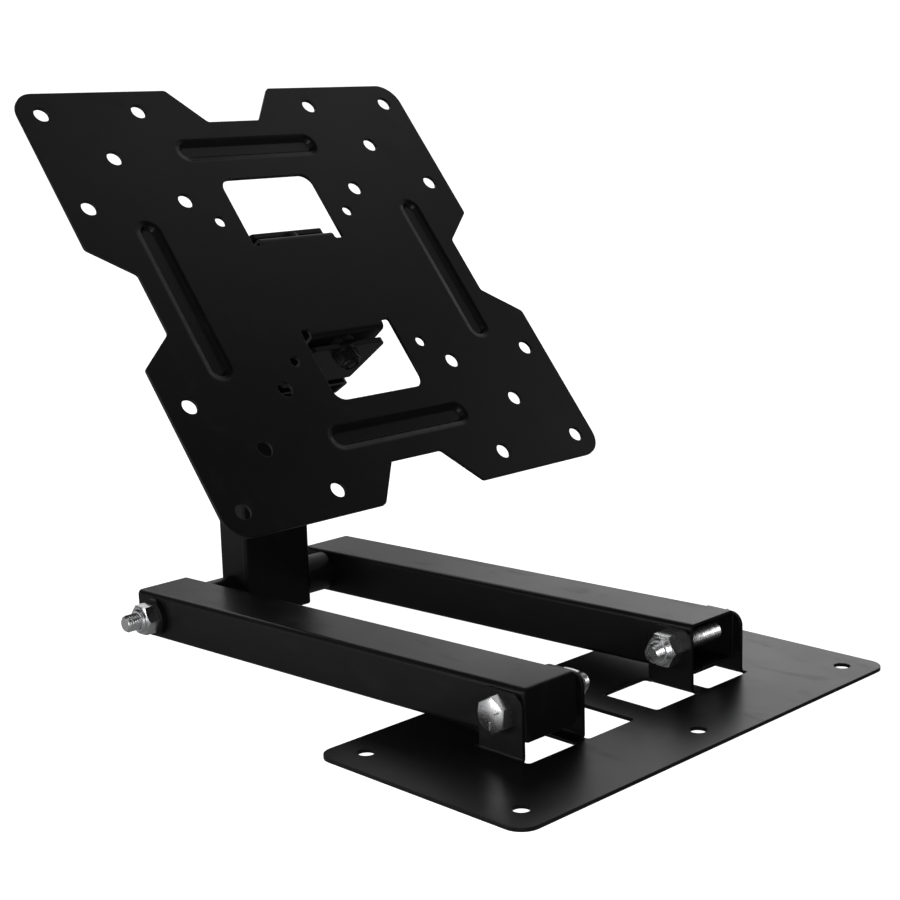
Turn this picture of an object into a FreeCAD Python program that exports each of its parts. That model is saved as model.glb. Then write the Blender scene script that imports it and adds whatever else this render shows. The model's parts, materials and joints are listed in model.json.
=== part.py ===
import FreeCAD
import Part
import math
import os

# A low table stand that carries a flat screen.
# X runs to the right as seen from in front of the screen, Y runs away to the back and Z runs up.
# The origin is on the table, in the middle of the hole pattern of the base plate.
# All sizes are millimetres and all angles are degrees.

# Base plate, cut and folded from one sheet
BASE_WIDTH = 229.0
BASE_DEPTH = 107.0
BASE_SHEET = 1.5
BASE_CORNER = 8.0
BASE_HOLE = 7.0
BASE_SIDE_MARGIN = 14.0
BASE_END_MARGIN = 13.7
LUG_WIDTH = 22.4
LUG_TOP = 26.7
LUG_CORNER = 5.5
LUG_BEND = 1.0
WINDOW_LENGTH = 28.0
WINDOW_DEPTH = 28.6
WINDOW_CORNER = 1.5

# Pivots
NEAR_PIVOT_HEIGHT = 18.0
FAR_PIVOT_HEIGHT = 11.4
ARM_PIVOT_PITCH = 220.5
COLUMN_PIVOT_PITCH = 110.8

# Arms, two closed rectangular tubes
ARM_PITCH = 102.1
ARM_WIDTH = 29.3
ARM_HEIGHT = 21.2
ARM_NEAR_END = 9.8
ARM_FAR_END = 12.2
ARM_WALL = 1.2
ARM_CORNER = 2.2
CAP_FLANGE = 1.2
CAP_ROUND = 0.8
CAP_PLUG = 3.5
CAP_WALL = 1.8

# Bolts and nuts
BOLT = 8.0
BOLT_FLATS = 13.0
BOLT_HEAD = 5.3
BOLT_CHAMFER = 0.9
NUT_HEIGHT = 8.0
NUT_HEX = 6.3
NUT_COLLAR = 11.4
NEAR_BOLT_TAIL = 4.4
FAR_BOLT_TAIL = 6.5
RUNNING_GAP = 0.1

# Washers and spacers
PIVOT_WASHER = 17.0
PIVOT_WASHER_THICK = 2.7
SLIP_WASHER_THICK = 0.3
SPACER = 18.7

# Column, a closed rectangular tube
COLUMN_WIDTH = 40.0
COLUMN_DEPTH = 20.0
COLUMN_WALL = 1.5
COLUMN_CORNER = 2.4
COLUMN_TOP_MARGIN = 9.0
COLUMN_CAP_THICK = 2.0

# Tilting head
TILT = 39.0
TILT_REACH = 63.7
HEAD_SHEET = 2.5
HEAD_BEND = 1.5
YOKE_WIDTH = 45.0
YOKE_WEB_WIDTH = 38.5
YOKE_FRONT = 4.5
YOKE_BACK = 37.0
YOKE_CORNER = 3.0
FORK_HEIGHT = 65.4
FORK_SHOULDER = 50.0
FORK_SHOULDER_HEIGHT = 62.4
FORK_END = 11.0
FORK_CORNER = 3.0
FORK_GAP = 0.3
THIN_WASHER = 1.6
TILT_BOLT_TAIL = 2.0

# Swivel pin through the screen plate
SWIVEL_DISTANCE = 9.0
SWIVEL_PIN = 6.0
SWIVEL_BUSH = 14.0
SWIVEL_BUSH_THICK = 2.4
SWIVEL_WASHER = 12.0
SWIVEL_WASHER_THICK = 1.2
SWIVEL_NUT_FLATS = 10.0
SWIVEL_NUT_HEIGHT = 6.0
SWIVEL_NUT_HEX = 4.7
SWIVEL_NUT_COLLAR = 8.8

# Screen plate, cut, pressed and folded from one sheet
PLATE_SIZE = 223.0
PLATE_SHEET = 1.5
PLATE_CORNER = 11.0
PLATE_BEND = 1.0
NOTCH_OUTER = 60.0
NOTCH_INNER = 30.0
NOTCH_DEPTH = 18.8
NOTCH_ROUND = 2.5
TAB_WIDTH = 43.0
TAB_SPAN = 54.6
TAB_DEPTH = 20.0
TAB_CORNER = 6.0
TAB_RELIEF = 1.8
PLATE_WINDOW_WIDTH = 53.0
PLATE_WINDOW_END = 60.0
PLATE_WINDOW_CORNER = 6.0
RELIEF_CORNER = 1.2
SCREEN_HOLE = 7.4
SMALL_HOLE = 5.4
LARGE_PATTERN = 200.0
MIDDLE_PATTERN = 150.0
INNER_PATTERN = 100.0
SMALL_PATTERN = 75.0
BEAD_LENGTH = 78.0
BEAD_WIDTH = 8.4
BEAD_DEPTH = 1.5
BEAD_LINE = 77.0

# Places that follow from the sizes above
arm_x = ARM_PITCH / 2
arm_half = ARM_WIDTH / 2
inner_arm_wall = arm_x - arm_half
outer_arm_wall = arm_x + arm_half
lug_space = ARM_WIDTH + PIVOT_WASHER_THICK + SLIP_WASHER_THICK
inner_lug_face = (ARM_PITCH - lug_space) / 2
outer_lug_start = inner_lug_face + lug_space
stand_x = inner_lug_face + SLIP_WASHER_THICK - inner_arm_wall
outer_lug_face = outer_lug_start + BASE_SHEET
column_half = COLUMN_WIDTH / 2
hole = BOLT + RUNNING_GAP
swivel_hole = SWIVEL_PIN + RUNNING_GAP
arm_slope = math.degrees(math.asin((NEAR_PIVOT_HEIGHT - FAR_PIVOT_HEIGHT) / ARM_PIVOT_PITCH))
far_pivot_y = ARM_PIVOT_PITCH * math.cos(math.radians(arm_slope))
tilt_pivot_z = FAR_PIVOT_HEIGHT + COLUMN_PIVOT_PITCH
column_top = tilt_pivot_z + COLUMN_TOP_MARGIN
tab_half = TAB_SPAN / 2
yoke_inner = tab_half + SWIVEL_BUSH_THICK
yoke_outer = yoke_inner + HEAD_SHEET
fork_inner = column_half + FORK_GAP
fork_outer = fork_inner + HEAD_SHEET


def vec(x, y, z):
    return FreeCAD.Vector(x, y, z)


X_AXIS = vec(1, 0, 0)
Y_AXIS = vec(0, 1, 0)
Z_AXIS = vec(0, 0, 1)


def rounded_polygon(corners):
    """A flat face in the XY plane; each corner is x, y and its rounding radius."""
    arcs = []
    for index in range(len(corners)):
        x, y, radius = corners[index]
        here = vec(x, y, 0)
        last = corners[index - 1]
        following = corners[(index + 1) % len(corners)]
        back = (vec(last[0], last[1], 0) - here).normalize()
        ahead = (vec(following[0], following[1], 0) - here).normalize()
        half_angle = back.getAngle(ahead) / 2
        setback = radius / math.tan(half_angle)
        middle_line = (back + ahead).normalize()
        centre = here + middle_line * (radius / math.sin(half_angle))
        arcs.append((here + back * setback, centre - middle_line * radius, here + ahead * setback))
    edges = []
    for index in range(len(arcs)):
        start, middle, end = arcs[index]
        next_start = arcs[(index + 1) % len(arcs)][0]
        if start.distanceToPoint(end) > 1e-6:
            edges.append(Part.Arc(start, middle, end).toShape())
        if end.distanceToPoint(next_start) > 1e-6:
            edges.append(Part.makeLine(end, next_start))
    return Part.Face(Part.Wire(edges))


def rounded_rectangle(x_low, x_high, y_low, y_high, radius):
    """A flat face in the XY plane between two corners."""
    corners = [(x_low, y_low, radius), (x_high, y_low, radius)]
    corners += [(x_high, y_high, radius), (x_low, y_high, radius)]
    return rounded_polygon(corners)


def slab(face, z_low, z_high):
    """A solid standing on a flat XY face between two heights."""
    body = face.extrude(vec(0, 0, z_high - z_low))
    body.translate(vec(0, 0, z_low))
    return body


def rod(radius, x_low, x_high, y=0.0, z=0.0):
    """A round bar along X."""
    return Part.makeCylinder(radius, x_high - x_low, vec(x_low, y, z), X_AXIS)


def hexagon(flats, height):
    """A six-sided bar standing on the XY plane, with two flats facing X."""
    corner_radius = flats / math.sqrt(3)
    corners = []
    for step in range(6):
        angle = math.radians(30 + 60 * step)
        corners.append((corner_radius * math.cos(angle), corner_radius * math.sin(angle), 0))
    return slab(rounded_polygon(corners), 0, height)


def chamfered_hexagon(flats, height):
    """A hexagon with its upper corners turned off at 30 degrees."""
    corner_radius = flats / math.sqrt(3)
    face_radius = flats / 2 * 0.96
    drop = (corner_radius - face_radius) * math.tan(math.radians(30))
    profile = [(0, 0), (corner_radius, 0), (corner_radius, height - drop)]
    profile += [(face_radius, height), (0, height)]
    points = [vec(radius, 0, z) for radius, z in profile]
    turned = Part.Face(Part.makePolygon(points + points[:1]))
    turned = turned.revolve(vec(0, 0, 0), Z_AXIS, 360)
    return hexagon(flats, height).common(turned)


def bolt(length):
    """A hexagon bolt along Z: head below the XY plane, shank above it."""
    head = chamfered_hexagon(BOLT_FLATS, BOLT_HEAD)
    head.rotate(vec(0, 0, 0), X_AXIS, 180)
    shank = Part.makeCylinder(BOLT / 2, length)
    shank = shank.makeChamfer(BOLT_CHAMFER, [edge_at_height(shank, length)])
    return head.fuse(shank).removeSplitter()


def edge_at_height(shape, height):
    """The round edge that lies flat at one height."""
    for edge in shape.Edges:
        if abs(edge.BoundBox.ZMin - height) + abs(edge.BoundBox.ZMax - height) < 1e-5:
            return edge


def lock_nut(thread, flats, hex_height, collar, height):
    """A hexagon lock nut standing on the XY plane with its round collar on top."""
    hexagonal = chamfered_hexagon(flats, hex_height)
    ring = Part.makeCylinder(collar / 2, height)
    ring = ring.makeChamfer((height - hex_height) * 0.5, [edge_at_height(ring, height)])
    nut = hexagonal.fuse(ring).removeSplitter()
    return nut.cut(Part.makeCylinder(thread / 2, height))


def pivot_nut():
    """The lock nut that fits all the cross bolts."""
    return lock_nut(BOLT, BOLT_FLATS, NUT_HEX, NUT_COLLAR, NUT_HEIGHT)


def washer(diameter, thickness, bore):
    """A flat washer standing on the XY plane."""
    disc = Part.makeCylinder(diameter / 2, thickness)
    return disc.cut(Part.makeCylinder(bore / 2, thickness))


def along_x(shape, x, y, z, direction):
    """Turn a shape from the Z axis onto plus or minus X and move it to its place."""
    turned = shape.copy()
    turned.rotate(vec(0, 0, 0), Y_AXIS, 90 * direction)
    turned.translate(vec(x, y, z))
    return turned


def mirrored(shape):
    """The same shape on the other side of the middle plane."""
    return shape.mirror(vec(0, 0, 0), X_AXIS)


def lug(outer_face):
    """A lug bent up out of the base sheet, its outer face at the given X."""
    inner = outer_face - BASE_SHEET
    bend_outer = BASE_SHEET + LUG_BEND
    bend_x = outer_face + LUG_BEND
    strip = Part.makeBox(BASE_SHEET, LUG_WIDTH, LUG_TOP - bend_outer, vec(inner, -LUG_WIDTH / 2, bend_outer))
    front = vec(bend_x, -LUG_WIDTH / 2, bend_outer)
    ring = Part.makeCylinder(bend_outer, LUG_WIDTH, front, Y_AXIS)
    ring = ring.cut(Part.makeCylinder(LUG_BEND, LUG_WIDTH, front, Y_AXIS))
    quarter = Part.makeBox(bend_outer, LUG_WIDTH, bend_outer, vec(inner, -LUG_WIDTH / 2, 0))
    tall = rounded_polygon([
        (-LUG_WIDTH / 2, 0, 0),
        (LUG_WIDTH / 2, 0, 0),
        (LUG_WIDTH / 2, LUG_TOP, LUG_CORNER),
        (-LUG_WIDTH / 2, LUG_TOP, LUG_CORNER),
    ])
    outline = slab(tall, 0, bend_outer)
    outline.rotate(vec(0, 0, 0), X_AXIS, 90)
    outline.rotate(vec(0, 0, 0), Z_AXIS, 90)
    outline.translate(vec(inner, 0, 0))
    return strip.fuse(ring.common(quarter)).removeSplitter().common(outline)


def base_plate():
    """The base sheet with its windows, its four lugs and its six screw holes."""
    outline = rounded_rectangle(
        -BASE_WIDTH / 2, BASE_WIDTH / 2, -BASE_DEPTH / 2, BASE_DEPTH / 2, BASE_CORNER
    )
    plate = slab(outline, 0, BASE_SHEET)
    half_side = base_half_lugs()
    for windows, lugs in (half_side, [mirrored(shape) for shape in half_side]):
        plate = plate.cut(windows).fuse(lugs)
    hole_x = BASE_WIDTH / 2 - BASE_SIDE_MARGIN
    hole_y = BASE_DEPTH / 2 - BASE_END_MARGIN
    for x in (-hole_x, 0, hole_x):
        for y in (-hole_y, hole_y):
            plate = plate.cut(Part.makeCylinder(BASE_HOLE / 2, BASE_SHEET, vec(x, y, 0)))
    return plate.removeSplitter()


def base_half_lugs():
    """The windows and the drilled lugs on the right-hand side of the base."""
    windows = []
    lugs = []
    for outer_face in (inner_lug_face, outer_lug_face):
        opening = rounded_rectangle(
            outer_face - WINDOW_LENGTH, outer_face, -WINDOW_DEPTH / 2, WINDOW_DEPTH / 2, WINDOW_CORNER
        )
        bend_room = Part.makeBox(LUG_BEND * 2, LUG_WIDTH, BASE_SHEET)
        bend_room.translate(vec(outer_face - LUG_BEND, -LUG_WIDTH / 2, 0))
        windows.append(slab(opening, 0, BASE_SHEET).fuse(bend_room))
        bore = rod(hole / 2, outer_face - BASE_SHEET, outer_face, 0, NEAR_PIVOT_HEIGHT)
        lugs.append(lug(outer_face).cut(bore))
    return windows[0].fuse(windows[1]), lugs[0].fuse(lugs[1])


def arm():
    """The right arm as a level tube with both pivot holes, near pivot at the origin."""
    outer = rounded_rectangle(-arm_half, arm_half, -ARM_HEIGHT / 2, ARM_HEIGHT / 2, ARM_CORNER)
    inner_half = arm_half - ARM_WALL
    inner_rise = ARM_HEIGHT / 2 - ARM_WALL
    inner = rounded_rectangle(
        -inner_half, inner_half, -inner_rise, inner_rise, ARM_CORNER - ARM_WALL
    )
    length = ARM_NEAR_END + ARM_PIVOT_PITCH + ARM_FAR_END
    tube = slab(outer, 0, length).cut(slab(inner, 0, length))
    tube.rotate(vec(0, 0, 0), X_AXIS, -90)
    tube.translate(vec(0, -ARM_NEAR_END, 0))
    for y in (0, ARM_PIVOT_PITCH):
        tube = tube.cut(rod(hole / 2, -arm_half, arm_half, y, 0))
    return tube


def end_cap(width, height, wall, corner):
    """A push-in cap for a rectangular tube, its flange standing below the XY plane."""
    reach = width / 2
    rise = height / 2
    flange = slab(rounded_rectangle(-reach, reach, -rise, rise, corner), -CAP_FLANGE, 0)
    rim = [edge for edge in flange.Edges if edge.BoundBox.ZMax < -CAP_FLANGE + 1e-5]
    flange = flange.makeFillet(CAP_ROUND, rim)
    outer_half = width / 2 - wall
    outer_rise = height / 2 - wall
    inner_half = outer_half - CAP_WALL
    inner_rise = outer_rise - CAP_WALL
    plug = slab(rounded_rectangle(-outer_half, outer_half, -outer_rise, outer_rise, corner - wall), 0, CAP_PLUG)
    hollow = slab(rounded_rectangle(-inner_half, inner_half, -inner_rise, inner_rise, 0), 0, CAP_PLUG)
    return flange.fuse(plug.cut(hollow)).removeSplitter()


def on_arm(shape, side):
    """Slope a shape made on the level arm and move it to the left or right arm."""
    placed = shape.copy()
    placed.rotate(vec(0, 0, 0), X_AXIS, -arm_slope)
    placed.translate(vec(stand_x + side * arm_x, 0, NEAR_PIVOT_HEIGHT))
    return placed


def near_cap():
    """The cap turned to close the near end of the level arm."""
    cap = end_cap(ARM_WIDTH, ARM_HEIGHT, ARM_WALL, ARM_CORNER)
    cap.rotate(vec(0, 0, 0), X_AXIS, -90)
    cap.translate(vec(0, -ARM_NEAR_END, 0))
    return cap


def far_cap():
    """The cap turned to close the far end of the level arm."""
    cap = end_cap(ARM_WIDTH, ARM_HEIGHT, ARM_WALL, ARM_CORNER)
    cap.rotate(vec(0, 0, 0), X_AXIS, 90)
    cap.translate(vec(0, ARM_PIVOT_PITCH + ARM_FAR_END, 0))
    return cap


def near_bolt():
    """The right near pivot bolt, from the outer lug through the arm to the middle."""
    nut_end = inner_lug_face - BASE_SHEET - NUT_HEIGHT
    length = outer_lug_face - nut_end + NEAR_BOLT_TAIL
    return along_x(bolt(length), outer_lug_face, 0, NEAR_PIVOT_HEIGHT, -1)


def near_nut():
    """The lock nut on the middle side of the right inner lug."""
    return along_x(pivot_nut(), inner_lug_face - BASE_SHEET, 0, NEAR_PIVOT_HEIGHT, -1)


def near_washers(lug_face):
    """The slip washer and the thick washer between two lugs, from the face of the left-hand one."""
    slip = washer(PIVOT_WASHER, SLIP_WASHER_THICK, hole)
    thick = washer(PIVOT_WASHER, PIVOT_WASHER_THICK, hole)
    thick_start = lug_face + SLIP_WASHER_THICK + ARM_WIDTH
    left = along_x(slip, lug_face, 0, NEAR_PIVOT_HEIGHT, 1)
    right = along_x(thick, thick_start, 0, NEAR_PIVOT_HEIGHT, 1)
    return left, right


def far_bolt():
    """The long bolt through both arms, the spacers and the foot of the column."""
    seat = outer_arm_wall + PIVOT_WASHER_THICK
    length = 2 * seat + NUT_HEIGHT + FAR_BOLT_TAIL
    return along_x(bolt(length), stand_x + seat, far_pivot_y, FAR_PIVOT_HEIGHT, -1)


def far_nut():
    """The lock nut of the long bolt, outside the left arm."""
    seat = outer_arm_wall + PIVOT_WASHER_THICK
    return along_x(pivot_nut(), stand_x - seat, far_pivot_y, FAR_PIVOT_HEIGHT, -1)


def far_washer(side):
    """The washer on the long bolt outside the left or right arm."""
    ring = washer(PIVOT_WASHER, PIVOT_WASHER_THICK, hole)
    return along_x(ring, stand_x + side * outer_arm_wall, far_pivot_y, FAR_PIVOT_HEIGHT, side)


def spacer(side):
    """The tube that fills the space between the column and the left or right arm."""
    length = inner_arm_wall - column_half
    ring = Part.makeCylinder(SPACER / 2, length).cut(Part.makeCylinder(hole / 2, length))
    return along_x(ring, stand_x + side * column_half, far_pivot_y, FAR_PIVOT_HEIGHT, side)


def column():
    """The upright tube, drilled for the long bolt and for the tilt bolt."""
    half_depth = COLUMN_DEPTH / 2
    outer = rounded_rectangle(-column_half, column_half, -half_depth, half_depth, COLUMN_CORNER)
    inner_half = column_half - COLUMN_WALL
    inner_depth = half_depth - COLUMN_WALL
    inner = rounded_rectangle(
        -inner_half, inner_half, -inner_depth, inner_depth, COLUMN_CORNER - COLUMN_WALL
    )
    tube = slab(outer, CAP_FLANGE, column_top).cut(slab(inner, CAP_FLANGE, column_top))
    for height in (FAR_PIVOT_HEIGHT, tilt_pivot_z):
        tube = tube.cut(rod(hole / 2, -column_half, column_half, 0, height))
    tube.translate(vec(stand_x, far_pivot_y, 0))
    return tube


def column_foot():
    """The push-in cap under the column, which stands on the table."""
    foot = end_cap(COLUMN_WIDTH, COLUMN_DEPTH, COLUMN_WALL, COLUMN_CORNER)
    foot.translate(vec(stand_x, far_pivot_y, CAP_FLANGE))
    return foot


def column_cap():
    """The push-in cap that closes the top of the column, flush with its end."""
    inner_half = column_half - COLUMN_WALL
    inner_depth = COLUMN_DEPTH / 2 - COLUMN_WALL
    plug = rounded_rectangle(
        -inner_half, inner_half, -inner_depth, inner_depth, COLUMN_CORNER - COLUMN_WALL
    )
    cap = slab(plug, column_top - COLUMN_CAP_THICK, column_top)
    cap.translate(vec(stand_x, far_pivot_y, 0))
    return cap


def on_head(shape):
    """Place a shape made in the frame of the screen plate: X across, Y up, minus Z to the back."""
    placed = shape.copy()
    placed.translate(vec(0, 0, TILT_REACH))
    placed.rotate(vec(0, 0, 0), X_AXIS, 90 - TILT)
    placed.translate(vec(0, far_pivot_y, tilt_pivot_z))
    return placed


def folded_channel(width, half_height, sheet, bend, back, front):
    """A U-shaped sheet open to plus Z, its web between Y flanges, web back face at minus back."""
    outer = rounded_polygon([
        (-half_height, -back, sheet + bend),
        (half_height, -back, sheet + bend),
        (half_height, -front, 0),
        (-half_height, -front, 0),
    ])
    inner_height = half_height - sheet
    inner = rounded_polygon([
        (-inner_height, sheet - back, bend),
        (inner_height, sheet - back, bend),
        (inner_height, -front, 0),
        (-inner_height, -front, 0),
    ])
    channel = slab(outer, -width / 2, width / 2).cut(slab(inner, -width / 2, width / 2))
    channel.rotate(vec(0, 0, 0), X_AXIS, 90)
    channel.rotate(vec(0, 0, 0), Z_AXIS, 90)
    return channel


def yoke():
    """The folded sheet that holds the swivel pin above and below the screen plate tabs."""
    channel = folded_channel(YOKE_WIDTH, yoke_outer, HEAD_SHEET, HEAD_BEND, YOKE_BACK, YOKE_FRONT)
    front = YOKE_WIDTH / 2
    web = YOKE_WEB_WIDTH / 2
    top_view = rounded_polygon([
        (-web, -YOKE_BACK, 0),
        (web, -YOKE_BACK, 0),
        (front, -YOKE_FRONT, YOKE_CORNER),
        (-front, -YOKE_FRONT, YOKE_CORNER),
    ])
    trim = slab(top_view, -yoke_outer, yoke_outer)
    trim.rotate(vec(0, 0, 0), X_AXIS, 90)
    axis_start = vec(0, -yoke_outer, -SWIVEL_DISTANCE)
    bore = Part.makeCylinder(swivel_hole / 2, 2 * yoke_outer, axis_start, Y_AXIS)
    return on_head(channel.common(trim).cut(bore))


def fork():
    """The folded sheet on the back of the yoke whose cheeks straddle the column."""
    half = FORK_HEIGHT / 2
    shoulder = FORK_SHOULDER_HEIGHT / 2
    channel = folded_channel(FORK_HEIGHT, fork_outer, HEAD_SHEET, HEAD_BEND, -YOKE_BACK, -TILT_REACH - FORK_END)
    channel.rotate(vec(0, 0, 0), Z_AXIS, 90)
    channel.rotate(vec(0, 0, 0), Y_AXIS, 180)
    flat_end = TILT_REACH + FORK_END
    side_view = rounded_polygon([
        (YOKE_BACK, -half, 0),
        (FORK_SHOULDER, -shoulder, FORK_CORNER),
        (flat_end, -FORK_END, FORK_END * 0.98),
        (flat_end, FORK_END, FORK_END * 0.98),
        (FORK_SHOULDER, shoulder, FORK_CORNER),
        (YOKE_BACK, half, 0),
    ])
    trim = slab(side_view, -fork_outer, fork_outer)
    trim.rotate(vec(0, 0, 0), Y_AXIS, 90)
    bore = rod(hole / 2, -fork_outer, fork_outer, 0, -TILT_REACH)
    centred = on_head(channel.common(trim).cut(bore))
    centred.translate(vec(stand_x, 0, 0))
    return centred


def tilt_bolt():
    """The bolt through the cheeks of the fork and the top of the column."""
    seat = fork_outer + THIN_WASHER
    length = 2 * seat + NUT_HEIGHT + TILT_BOLT_TAIL
    return along_x(bolt(length), stand_x + seat, far_pivot_y, tilt_pivot_z, -1)


def tilt_nut():
    """The lock nut of the tilt bolt, on the left."""
    seat = fork_outer + THIN_WASHER
    return along_x(pivot_nut(), stand_x - seat, far_pivot_y, tilt_pivot_z, -1)


def tilt_washer(side):
    """The washer of the tilt bolt on the left or right cheek."""
    ring = washer(PIVOT_WASHER, THIN_WASHER, hole)
    return along_x(ring, stand_x + side * fork_outer, far_pivot_y, tilt_pivot_z, side)


def on_swivel(shape, height):
    """Stand a shape on the swivel axis, its XY plane at a height up the screen plate."""
    placed = shape.copy()
    placed.rotate(vec(0, 0, 0), X_AXIS, -90)
    placed.translate(vec(0, height, -SWIVEL_DISTANCE))
    return on_head(placed)


def swivel_pin():
    """The threaded pin welded flush into the upper flange of the yoke."""
    length = 2 * yoke_outer + SWIVEL_WASHER_THICK + SWIVEL_NUT_HEIGHT
    pin = Part.makeCylinder(SWIVEL_PIN / 2, length)
    pin = pin.makeChamfer(BOLT_CHAMFER, [edge_at_height(pin, 0)])
    return on_swivel(pin, yoke_outer - length)


def swivel_nut():
    """The lock nut under the lower flange."""
    nut = lock_nut(SWIVEL_PIN, SWIVEL_NUT_FLATS, SWIVEL_NUT_HEX, SWIVEL_NUT_COLLAR, SWIVEL_NUT_HEIGHT)
    nut.rotate(vec(0, 0, 0), X_AXIS, 180)
    return on_swivel(nut, -yoke_outer - SWIVEL_WASHER_THICK)


def swivel_washer():
    """The thin washer under the lower flange."""
    ring = washer(SWIVEL_WASHER, SWIVEL_WASHER_THICK, swivel_hole)
    return on_swivel(ring, -yoke_outer - SWIVEL_WASHER_THICK)


def swivel_bushes():
    """The thick washers between the plate tabs and the yoke flanges."""
    ring = washer(SWIVEL_BUSH, SWIVEL_BUSH_THICK, swivel_hole)
    return on_swivel(ring, tab_half), on_swivel(ring, -yoke_inner)


def plate_outline():
    """The outline of the screen plate with its four side notches."""
    half = PLATE_SIZE / 2
    outer = NOTCH_OUTER / 2
    inner = NOTCH_INNER / 2
    floor = half - NOTCH_DEPTH
    side = [
        (half, half, PLATE_CORNER),
        (outer, half, NOTCH_ROUND),
        (inner, floor, NOTCH_ROUND),
        (-inner, floor, NOTCH_ROUND),
        (-outer, half, NOTCH_ROUND),
    ]
    corners = []
    for x, y, radius in side:
        corners.append((x, y, radius))
    for x, y, radius in side:
        corners.append((-y, x, radius))
    for x, y, radius in side:
        corners.append((-x, -y, radius))
    for x, y, radius in side:
        corners.append((y, -x, radius))
    return rounded_polygon(corners)


def plate_window():
    """The upper window of the screen plate with the relief cuts beside its tab."""
    half = PLATE_WINDOW_WIDTH / 2
    tab_side = TAB_WIDTH / 2
    foot = tab_half - PLATE_SHEET - PLATE_BEND
    relief = foot - TAB_RELIEF
    return rounded_polygon([
        (half, relief, RELIEF_CORNER),
        (half, PLATE_WINDOW_END, PLATE_WINDOW_CORNER),
        (-half, PLATE_WINDOW_END, PLATE_WINDOW_CORNER),
        (-half, relief, RELIEF_CORNER),
        (-tab_side, relief, RELIEF_CORNER),
        (-tab_side, foot, 0),
        (tab_side, foot, 0),
        (tab_side, relief, RELIEF_CORNER),
    ])


def plate_tab():
    """The upper tab, bent to the back out of the window and drilled for the swivel pin."""
    foot = tab_half - PLATE_SHEET - PLATE_BEND
    outer_bend = PLATE_SHEET + PLATE_BEND
    profile = rounded_polygon([
        (foot, 0, 0),
        (tab_half, 0, outer_bend),
        (tab_half, -TAB_DEPTH, 0),
        (tab_half - PLATE_SHEET, -TAB_DEPTH, 0),
        (tab_half - PLATE_SHEET, -PLATE_SHEET, PLATE_BEND),
        (foot, -PLATE_SHEET, 0),
    ])
    strip = slab(profile, -TAB_WIDTH / 2, TAB_WIDTH / 2)
    strip.rotate(vec(0, 0, 0), X_AXIS, 90)
    strip.rotate(vec(0, 0, 0), Z_AXIS, 90)
    half = TAB_WIDTH / 2
    top_view = rounded_polygon([
        (-half, -TAB_DEPTH, TAB_CORNER),
        (half, -TAB_DEPTH, TAB_CORNER),
        (half, 0, 0),
        (-half, 0, 0),
    ])
    trim = slab(top_view, -tab_half, tab_half)
    trim.rotate(vec(0, 0, 0), X_AXIS, 90)
    bore = Part.makeCylinder(swivel_hole / 2, tab_half, vec(0, 0, -SWIVEL_DISTANCE), Y_AXIS)
    return strip.common(trim).cut(bore)


def bead():
    """One pressed bead above the middle: the metal it adds behind and the hollow in front."""
    half = BEAD_LENGTH / 2
    radius = BEAD_WIDTH / 2
    slope = BEAD_DEPTH
    front = stadium_cone(half, radius, radius - slope, 0, -BEAD_DEPTH)
    wide = radius + PLATE_SHEET * 0.4
    behind = stadium_cone(half, wide, wide - slope, -PLATE_SHEET, -PLATE_SHEET - BEAD_DEPTH)
    return behind, front


def stadium_cone(half, radius_top, radius_bottom, z_top, z_bottom):
    """A round-ended bar along X with sloping sides."""
    straight = half - radius_top
    rise = z_top - z_bottom
    ends = []
    for x in (-straight, straight):
        ends.append(Part.makeCone(radius_bottom, radius_top, rise, vec(x, 0, z_bottom)))
    middle = Part.makePolygon([
        vec(-straight, -radius_bottom, z_bottom),
        vec(-straight, radius_bottom, z_bottom),
        vec(-straight, radius_top, z_top),
        vec(-straight, -radius_top, z_top),
        vec(-straight, -radius_bottom, z_bottom),
    ])
    bar = Part.Face(middle).extrude(vec(2 * straight, 0, 0))
    return bar.fuse(ends[0]).fuse(ends[1]).removeSplitter()


def square_of_holes(pitch_x, pitch_y, diameter):
    """Four drills at the corners of a rectangle."""
    drills = []
    for x in (-pitch_x / 2, pitch_x / 2):
        for y in (-pitch_y / 2, pitch_y / 2):
            drills.append(Part.makeCylinder(diameter / 2, PLATE_SHEET, vec(x, y, -PLATE_SHEET)))
    return Part.makeCompound(drills)


def tv_plate():
    """The screen plate with its windows, tabs, beads and screen holes."""
    plate = slab(plate_outline(), -PLATE_SHEET, 0)
    opening = slab(plate_window(), -PLATE_SHEET, 0)
    tab = plate_tab()
    for angle in (0, 180):
        turned_opening = opening.copy()
        turned_opening.rotate(vec(0, 0, 0), Z_AXIS, angle)
        turned_tab = tab.copy()
        turned_tab.rotate(vec(0, 0, 0), Z_AXIS, angle)
        plate = plate.cut(turned_opening).fuse(turned_tab)
    for angle in (0, 90, 180, 270):
        behind, front = bead()
        for shape in (behind, front):
            shape.translate(vec(0, BEAD_LINE, 0))
            shape.rotate(vec(0, 0, 0), Z_AXIS, angle)
        plate = plate.fuse(behind).cut(front)
    patterns = [
        (LARGE_PATTERN, LARGE_PATTERN, SCREEN_HOLE),
        (LARGE_PATTERN, INNER_PATTERN, SCREEN_HOLE),
        (INNER_PATTERN, LARGE_PATTERN, SCREEN_HOLE),
        (MIDDLE_PATTERN, MIDDLE_PATTERN, SCREEN_HOLE),
        (INNER_PATTERN, INNER_PATTERN, SCREEN_HOLE),
        (SMALL_PATTERN, SMALL_PATTERN, SMALL_HOLE),
    ]
    for pitch_x, pitch_y, diameter in patterns:
        plate = plate.cut(square_of_holes(pitch_x, pitch_y, diameter))
    return on_head(plate.removeSplitter())


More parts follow.
